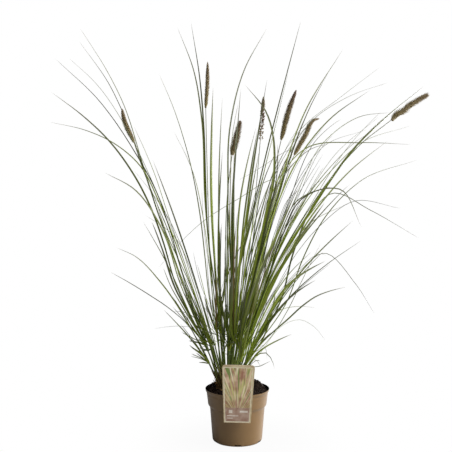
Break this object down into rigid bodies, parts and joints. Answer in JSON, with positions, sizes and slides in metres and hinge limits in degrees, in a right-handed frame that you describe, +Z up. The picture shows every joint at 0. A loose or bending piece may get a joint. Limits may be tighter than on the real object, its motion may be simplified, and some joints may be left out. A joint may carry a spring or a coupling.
{
  "type": "potted fountain grass clump",
  "caption": "Tall clump of fountain grass with brown bristly flower spikes, growing in a round taupe nursery pot with a hanging plant card.",
  "frame": {"origin": "centre of the pot's flat underside, on its axis", "axes": "+Z up along the pot's axis, -Y towards the viewer and the plant card, +X to the viewer's right"},
  "size_m": [1.0398, 0.7393, 1.1102],
  "materials": {
    "pot_plastic": "thermoformed, taupe outside and black inside",
    "soil": "moist dark peat with coarse crumbs",
    "card_plastic": "thin printed plastic sheet",
    "old_sheaths": "dry brown leaf bases",
    "leaf": "living grass blade, satin with fine veins",
    "flower_stem": "living round culm, satin",
    "flower_spike": "dense soft bristles, matt"
  },
  "bodies": {
    "root": {"pot": "pot_plastic", "soil": "soil", "plant_card": "card_plastic", "crown": "old_sheaths", "flower_stem_1": "flower_stem", "flower_stem_2": "flower_stem", "flower_stem_3": "flower_stem", "flower_stem_4": "flower_stem", "flower_stem_5": "flower_stem", "flower_stem_6": "flower_stem", "flower_stem_7": "flower_stem", "flower_spike_1": "flower_spike", "flower_spike_2": "flower_spike", "flower_spike_3": "flower_spike", "flower_spike_4": "flower_spike", "flower_spike_5": "flower_spike", "flower_spike_6": "flower_spike", "flower_spike_7": "flower_spike", "shoot_01": "leaf", "shoot_02": "leaf", "shoot_03": "leaf", "shoot_04": "leaf", "shoot_05": "leaf", "shoot_06": "leaf", "shoot_07": "leaf", "shoot_08": "leaf", "shoot_09": "leaf", "shoot_10": "leaf", "shoot_11": "leaf", "shoot_12": "leaf", "shoot_13": "leaf", "shoot_14": "leaf", "shoot_15": "leaf", "shoot_16": "leaf", "shoot_17": "leaf", "shoot_18": "leaf", "shoot_19": "leaf", "shoot_20": "leaf", "shoot_21": "leaf", "shoot_22": "leaf", "shoot_23": "leaf", "shoot_24": "leaf", "shoot_25": "leaf", "shoot_26": "leaf", "shoot_27": "leaf", "shoot_28": "leaf", "shoot_29": "leaf", "shoot_30": "leaf", "shoot_31": "leaf", "shoot_32": "leaf", "shoot_33": "leaf", "shoot_34": "leaf", "shoot_35": "leaf", "shoot_36": "leaf", "shoot_37": "leaf", "shoot_38": "leaf", "shoot_39": "leaf", "shoot_40": "leaf", "shoot_41": "leaf", "shoot_42": "leaf"}
  },
  "joints": []
}
